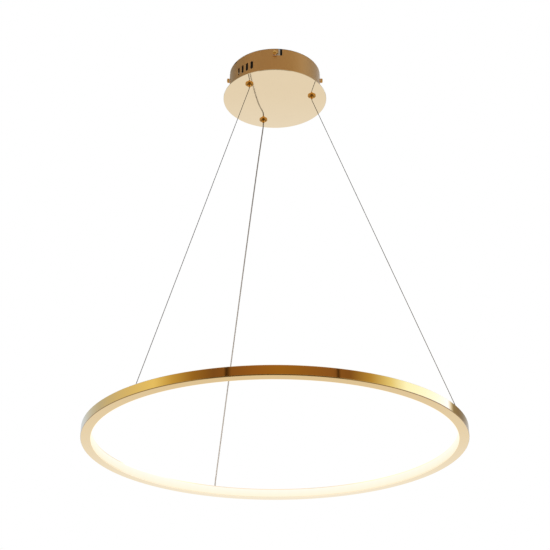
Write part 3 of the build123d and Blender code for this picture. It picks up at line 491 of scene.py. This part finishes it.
def smooth_line(name, route):
    """The points that the route's smooth spline passes, read from a copy with no bevel."""
    data = bpy.data.curves.new(name, "CURVE")
    data.dimensions = "3D"
    data.resolution_u = 96
    spline = data.splines.new("NURBS")
    spline.points.add(len(route) - 1)
    for point, place in zip(spline.points, route):
        point.co = (*place, 1)
    spline.order_u = 3
    spline.use_endpoint_u = True
    curve = bpy.data.objects.new(name, data)
    bpy.context.scene.collection.objects.link(curve)
    bpy.context.view_layer.update()
    read = bpy.data.meshes.new_from_object(curve)
    line = np.array([v.co for v in read.vertices], float)
    bpy.data.objects.remove(curve)
    bpy.data.meshes.remove(read)
    return line


def stations(line, spacing):
    """Places along the line at even spacing, each with its distance and two cross directions.

    The first direction is level and square to the line's chord, and the same all along; the second
    is square to it and to the line.
    """
    steps = np.linalg.norm(np.diff(line, axis=0), axis=1)
    run = np.concatenate([[0], np.cumsum(steps)])
    distance = np.linspace(0, run[-1], int(run[-1] / spacing) + 2)
    place = np.stack([np.interp(distance, run, line[:, axis]) for axis in range(3)], axis=1)
    along = np.gradient(place, axis=0)
    along /= np.linalg.norm(along, axis=1)[:, None]
    level = np.cross(line[-1] - line[0], (0, 0, 1))
    level /= np.linalg.norm(level)
    side = np.broadcast_to(level, place.shape)
    other = np.cross(along, side)
    other /= np.linalg.norm(other, axis=1)[:, None]
    return place, distance, side, other


def around_line(place, side, other, radius, angle):
    """Points about each station: place + radius * (cos angle * side + sin angle * other).

    Radius and angle are arrays (stations, columns).
    """
    return (place[:, None] + radius[..., None] * (np.cos(angle)[..., None] * side[:, None]
                                                  + np.sin(angle)[..., None] * other[:, None]))


def stranded(line, diameter, strands, lay):
    """The surface of a rope of laid strands.

    Its outline is a ring of circles that touch: each strand's middle stands at two thirds of the
    rope's radius and its own radius is one third, and the outline turns once in each length of lay.
    Four points cover nine tenths of each strand's share of the circle.
    """
    place, distance, side, other = stations(line, lay / 12)
    middle, strand = diameter / 3, diameter / 6
    across = np.linspace(-0.9, 0.9, 4) * math.pi / strands
    outline = np.sqrt(np.maximum(strand**2 - (middle * np.sin(across)) ** 2, 0))
    radius = np.tile(middle * np.cos(across) + outline, strands)
    angle = (angles_round(strands)[:, None] + across).ravel()
    twist = 2 * math.pi * distance / lay
    full = twist[:, None] + angle
    return around_line(place, side, other, np.broadcast_to(radius, full.shape), full)


def round_tube(line, diameter, sides=20, spacing=0.004):
    """The surface of a plain round tube along the line."""
    place, _, side, other = stations(line, spacing)
    angle = np.broadcast_to(angles_round(sides), (len(place), sides))
    radius = np.full(angle.shape, diameter / 2)
    return around_line(place, side, other, radius, angle)


def twisted_core(line, lay, offset, start):
    """The line of one core: a helix about the cable's own line, one turn in each length of lay."""
    place, distance, side, other = stations(line, lay / 20)
    turn = (start + 2 * math.pi * distance / lay)[:, None]
    return place + offset * (np.cos(turn) * side + np.sin(turn) * other)


# ---------------------------------------------------------------- ropes and cable


def take_up(piece):
    """The piece rides on the canopy."""
    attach(piece, "canopy")
    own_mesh(piece)


for name, route, node_name in (("rope_a", rope_a_route, "suspension_wire_a"),
                               ("rope_b", rope_b_route, "suspension_wire_b")):
    line = smooth_line(name, route)
    strands = stranded(line, rope_diameter, rope_strands, rope_lay)
    rope = make_piece(name, [strands], finishes["rope_steel"])
    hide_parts(node_name)
    take_up(rope)

line = smooth_line("cable", cable_route)
jacket = make_piece("cable_jacket", [round_tube(line, cable_diameter)], finishes["cable_clear"])
core_lines = [twisted_core(line, core_lay, cable_diameter / 4, start) for start in (0, math.pi)]
core_surfaces = [stranded(core, core_diameter, core_strands, core_lay / 3) for core in core_lines]
cores = make_piece("cable_cores", core_surfaces, core_finish)
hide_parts("power_cable")
take_up(jacket)
take_up(cores)


# ---------------------------------------------------------------- springs and thumbscrews


def coil_spring(name, node_name):
    """A round-wire spring in its chamber.

    Its wire's line is a circle that climbs evenly between the flat turns at its two ends.
    """
    points_to_coil, wire_sides = 40, 10
    low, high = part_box(node_name)
    middle = (low + high) / 2
    radius = (high.x - low.x) / 2 - spring_wire / 2
    coils = np.linspace(0, 1, int(spring_coils * points_to_coil)) * spring_coils
    climb = np.clip((coils - spring_end_coils) / (spring_coils - 2 * spring_end_coils), 0, 1)
    turn = 2 * math.pi * coils
    bottom, top = low.z + spring_wire / 2, high.z - spring_wire / 2
    line = np.stack([middle.x + radius * np.cos(turn), middle.y + radius * np.sin(turn),
                     bottom + (top - bottom) * climb], axis=1)
    along = np.gradient(line, axis=0)
    along /= np.linalg.norm(along, axis=1)[:, None]
    outwards = np.stack([np.cos(turn), np.sin(turn), np.zeros_like(turn)], axis=1)
    upwards = np.cross(along, outwards)
    angle = np.broadcast_to(angles_round(wire_sides), (len(line), wire_sides))
    wire = around_line(line, outwards, upwards, np.full(angle.shape, spring_wire / 2), angle)
    return make_piece(name, [wire], finishes["spring_steel"])


for letter in "ab":
    node_name = f"gripper_spring_{letter}"
    spring = coil_spring(f"release_spring_{letter}", node_name)
    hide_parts(node_name)
    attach(spring, "canopy")
    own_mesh(spring)


def thumbscrew(name, direction):
    """A thumbscrew turned about its own axis.

    Its profile runs from the shank's end out to the dome. Along the shank the radius follows the
    thread's ridges, and on the head's rim it dips between straight ridges as a cosine of the angle.
    """
    points_to_ridge = 6  # of the thread and of the head's rim
    head_radius = head_diameter / 2
    thread = np.linspace(0, 1, int(shank_length / thread_pitch * points_to_ridge) + 1)
    shank_x = -shank_length * (1 - thread)
    ramp = np.clip(np.minimum(thread, 1 - thread) * shank_length / thread_fade, 0, 1)
    groove = 0.5 - 0.5 * np.cos(2 * math.pi * (shank_x + shank_length) / thread_pitch)
    shank_r = shank_diameter / 2 - ramp * thread_depth * groove
    rim = np.linspace(0, math.pi / 2, 4)
    lower_x = head_chamfer * (1 - np.cos(rim))
    lower_r = head_radius - head_chamfer * (1 - np.sin(rim))
    middle_x = [head_height / 2]
    upper_x = head_height - head_chamfer * np.cos(rim)
    upper_r = head_radius - head_chamfer * (1 - np.cos(rim))
    crown = np.linspace(0, 1, 9)[1:-1] * math.pi / 2
    crown_x = head_height + head_dome * np.sin(crown)
    crown_r = (head_radius - head_chamfer) * np.cos(crown)
    x = np.concatenate([shank_x, [0.0], lower_x, middle_x, upper_x, crown_x])
    r = np.concatenate([shank_r, [shank_diameter / 2], lower_r, [head_radius], upper_r, crown_r])
    hair = 1e-9
    on_rim = (r > head_radius - head_chamfer - hair) & (x > -hair) & (x < head_height + hair)
    angle = angles_round(head_ridges * points_to_ridge)
    ridge = ridge_depth * (0.5 - 0.5 * np.cos(head_ridges * angle))
    radius = r[:, None] - np.where(on_rim[:, None], ridge[None, :], 0)
    axial = head_seat_radius + np.broadcast_to(x[:, None], radius.shape)
    across, up = radius * np.cos(angle), radius * np.sin(angle)
    out_x, out_y = direction
    points = np.stack([axial * out_x - across * out_y, axial * out_y + across * out_x,
                       screw_z + up], axis=-1)
    return make_piece(name, [points], finishes["gold_screw"])


for side_name, direction in screw_directions.items():
    screw = thumbscrew(f"knurled_screw_{side_name}", direction)
    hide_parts(f"thumbscrew_{side_name}")
    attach(screw, f"thumbscrew_{side_name}")

# ---------------------------------------------------------------- studio

floor_z = -2.55
floor_half = 40.0
pool_place = (0, -1.9, floor_z)  # a dim pool on the floor, before the lamp
pool_radius = 1.25
pool_fade = 0.25
bright_from, bright_to = 3.6, 6.2  # along Y, where the floor behind the lamp turns bright
floor_shine = 0.7  # share of plain white in the floor, as the camera sees it

wall_radius = 6.0
wall_low, wall_high = -1.2, 7.0
dusk_low, dusk_high = 2.4, 2.9  # heights between which the wall's upper part takes over
stand_edges = (243.2, 245.0, 303.3, 305.1)  # directions of the two stands' dark edges
edge_core, edge_reach = 0.2, 0.5  # degrees to each side

patch_radius = 0.1072  # of the painted shade patch on the ceiling, just past the drum's inner face
patch_z = 0.0004
circle_steps = 96  # round the wall and the patch

world_light = 0.55  # share of white that the world gives as light
lights_aim = Vector((0, 0, -0.5))  # about halfway down the lamp

camera_place = (0.000318, -2.48428, -1.75215)
camera_tilt = 26.138  # degrees above level
camera_frame = 36  # millimetres
camera_lens = 81.818  # millimetres


def stage_piece(name, points, finish, around):
    """A piece of the studio, which is no part of the lamp."""
    piece = make_piece(name, [points], finish, around=around, caps=False)
    return piece


def floor_finish():
    """Pale floor that keeps the lamp's shadow, and that a view from under it looks through.

    Metal shows a dim pool on it before the lamp, and it is bright far behind it.
    """
    material, tree, shader = new_finish("pale floor")
    shader.inputs["Base Color"].default_value = (0.86, 0.86, 0.85, 1)
    shader.inputs["Roughness"].default_value = 0.8
    from_pool = add(tree, "ShaderNodeVectorMath", {0: place_of(tree), 1: pool_place},
                    operation="DISTANCE").outputs["Value"]
    around_pool = spread(tree, from_pool, 0, 1, pool_radius, pool_radius + pool_fade)
    far = spread(tree, axes_of(tree)["Y"], 0, 1, bright_from, bright_to)
    lit = between(tree, far, (0.86, 0.80, 0.72), (1.08, 1.15, 1.30))
    in_metal = glowing(tree, between(tree, around_pool, (0.05, 0.03, 0.015), lit))
    paler = result_of(tree, "MULTIPLY", any_ray(tree, "Camera"), floor_shine)
    seen = mixed_shader(tree, paler, shader, glowing(tree, (1, 1, 1, 1)))
    lit_floor = mixed_shader(tree, any_ray(tree, "Glossy", "Transmission"), seen, in_metal)
    below = add(tree, "ShaderNodeNewGeometry").outputs["Backfacing"]
    show(tree, mixed_shader(tree, below, lit_floor, add(tree, "ShaderNodeBsdfTransparent")))
    return material


def colours_round(tree, turn, stops):
    """Colours that change with direction; each stop gives its direction, from 180 to 540."""
    ramp = add(tree, "ShaderNodeValToRGB", {"Fac": turn})
    elements = ramp.color_ramp.elements
    elements.remove(elements[0])
    for i, (direction, colour) in enumerate(stops):
        position = (direction - 180) / 360
        element = elements[0] if i == 0 else elements.new(position)
        element.position = position
        element.color = (*colour, 1)
    return ramp.outputs["Color"]


def wall_finish():
    """The studio's surround, which only polished metal shows.

    Low down it goes round from a lit wall at the left to a dark room before the lamp, a soft box
    at the right and a dim corner behind that. Two stands in the dark room show as thin lines at
    their edges. High up the wall is an even, warm dusk.
    """
    material, tree, shader = new_finish("studio surround")
    tree.nodes.remove(shader)
    axes = axes_of(tree)
    turn = spread(tree, direction_of(tree, axes), 0, 1, -math.pi, math.pi)
    low = colours_round(tree, turn, [
        (180, (0.86, 0.78, 0.53)), (199, (1.0, 0.90, 0.50)), (211, (0.68, 0.50, 0.18)),
        (224, (0.39, 0.22, 0.06)), (236, (0.25, 0.12, 0.045)), (261, (0.38, 0.17, 0.045)),
        (274, (0.41, 0.20, 0.04)), (302, (0.32, 0.15, 0.055)), (312, (0.27, 0.13, 0.045)),
        (325, (0.60, 0.42, 0.14)), (338, (1.0, 1.0, 0.70)), (349, (1.3, 1.6, 2.1)),
        (387, (1.4, 1.7, 2.8)), (391, (0.9, 0.9, 0.9)), (394, (0.34, 0.28, 0.18)),
        (402, (0.29, 0.22, 0.14)), (411, (0.31, 0.27, 0.22)), (423, (0.48, 0.46, 0.43)),
        (436, (0.70, 0.67, 0.63)), (485, (0.66, 0.73, 0.79)), (510, (0.62, 0.62, 0.58)),
        (540, (0.86, 0.78, 0.53)),
    ])
    clear, shut = (0, 0, 0), (1, 1, 1)
    edges = []
    for direction in stand_edges:
        edges += [(direction - edge_reach, clear), (direction - edge_core, shut),
                  (direction + edge_core, shut), (direction + edge_reach, clear)]
    low = between(tree, colours_round(tree, turn, edges), low, (0.05, 0.025, 0.01))
    high = colours_round(tree, turn, [
        (180, (0.35, 0.29, 0.21)), (200, (0.42, 0.34, 0.26)), (215, (0.46, 0.38, 0.27)),
        (280, (0.47, 0.39, 0.27)), (312, (0.51, 0.43, 0.29)), (342, (0.56, 0.50, 0.40)),
        (362, (0.46, 0.41, 0.32)), (380, (0.41, 0.37, 0.29)), (400, (0.40, 0.38, 0.33)),
        (420, (0.48, 0.46, 0.42)), (440, (0.72, 0.72, 0.68)), (460, (0.33, 0.31, 0.25)),
        (500, (0.31, 0.28, 0.22)), (540, (0.35, 0.29, 0.21)),
    ])
    rise = spread(tree, axes["Z"], 0, 1, dusk_low, dusk_high)
    show(tree, glowing(tree, between(tree, rise, low, high)))
    return material


def studio_wall():
    """A round wall about the lamp, which only glossy rays meet."""
    angle = angles_round(circle_steps)
    height = np.array([wall_low, wall_high])
    points = np.stack(np.broadcast_arrays(wall_radius * np.cos(angle), wall_radius * np.sin(angle),
                                          height[:, None]), axis=-1)
    wall = stage_piece("studio_wall", points, wall_finish(), True)
    for ray in ("camera", "diffuse", "transmission", "shadow"):
        setattr(wall, "visible_" + ray, False)


def painted_shade_patch():
    """A patch of painted shade on the ceiling over the open drum, so that its openings look into
    the dark.

    Only the camera sees it, and only from below.
    """
    material, tree, shader = new_finish("painted ceiling shade")
    tree.nodes.remove(shader)
    above = add(tree, "ShaderNodeNewGeometry").outputs["Backfacing"]
    # painted shade: a near-black glow seen through the drum's openings
    dark = glowing(tree, (0.012, 0.009, 0.006, 1))
    show(tree, mixed_shader(tree, above, dark, add(tree, "ShaderNodeBsdfTransparent")))
    angle = angles_round(circle_steps)
    radius = np.array([0.0, patch_radius])[:, None]
    points = np.stack(np.broadcast_arrays(radius * np.cos(angle), radius * np.sin(angle), patch_z),
                      axis=-1)
    patch = stage_piece("painted_shade_patch", points, material, True)
    for ray in ("diffuse", "glossy", "transmission", "shadow"):
        setattr(patch, "visible_" + ray, False)


def studio_floor():
    """A square floor under the lamp."""
    ends = np.array([-floor_half, floor_half])
    points = np.stack(np.broadcast_arrays(ends, ends[:, None], floor_z), axis=-1)
    stage_piece("studio_floor", points, floor_finish(), False)


def studio_world():
    """White where the camera, metal or glass sees it, and softer as a light."""
    world = bpy.data.worlds.new("studio")
    bpy.context.scene.world = world
    world.use_nodes = True
    tree = world.node_tree
    white = add(tree, "ShaderNodeBackground", {"Color": (1, 1, 1, 1), "Strength": 1.0})
    soft = add(tree, "ShaderNodeBackground", {"Color": (1, 1, 1, 1), "Strength": world_light})
    seen = any_ray(tree, "Camera", "Glossy", "Transmission")
    show(tree, mixed_shader(tree, seen, soft, white), "OUTPUT_WORLD")


def soft_box(name, place, size, power):
    """A square light that looks at the lamp's middle, and that no metal shows."""
    data = bpy.data.lights.new(name, "AREA")
    data.size = size
    data.energy = power
    light = bpy.data.objects.new(name, data)
    bpy.context.scene.collection.objects.link(light)
    light.location = place
    light.rotation_euler = (lights_aim - Vector(place)).to_track_quat("-Z", "Y").to_euler()
    light.visible_glossy = False


def camera():
    """The photograph's own view, from below and looking up, with no roll."""
    data = bpy.data.cameras.new("camera")
    data.sensor_width = camera_frame
    data.lens = camera_lens
    made = bpy.data.objects.new("camera", data)
    bpy.context.scene.collection.objects.link(made)
    made.location = camera_place
    made.rotation_euler = (math.radians(90 + camera_tilt), 0, 0)
    bpy.context.scene.camera = made


painted_shade_patch()
studio_floor()
studio_wall()
studio_world()
soft_box("left_lamp", (-2.6, -2.2, 0.6), size=1.8, power=60)
soft_box("right_lamp", (2.8, -1.6, 0.3), size=1.8, power=50)
soft_box("low_lamp", (0.0, -2.0, -2.3), size=1.6, power=18)
camera()
bpy.context.scene.view_settings.view_transform = "Standard"
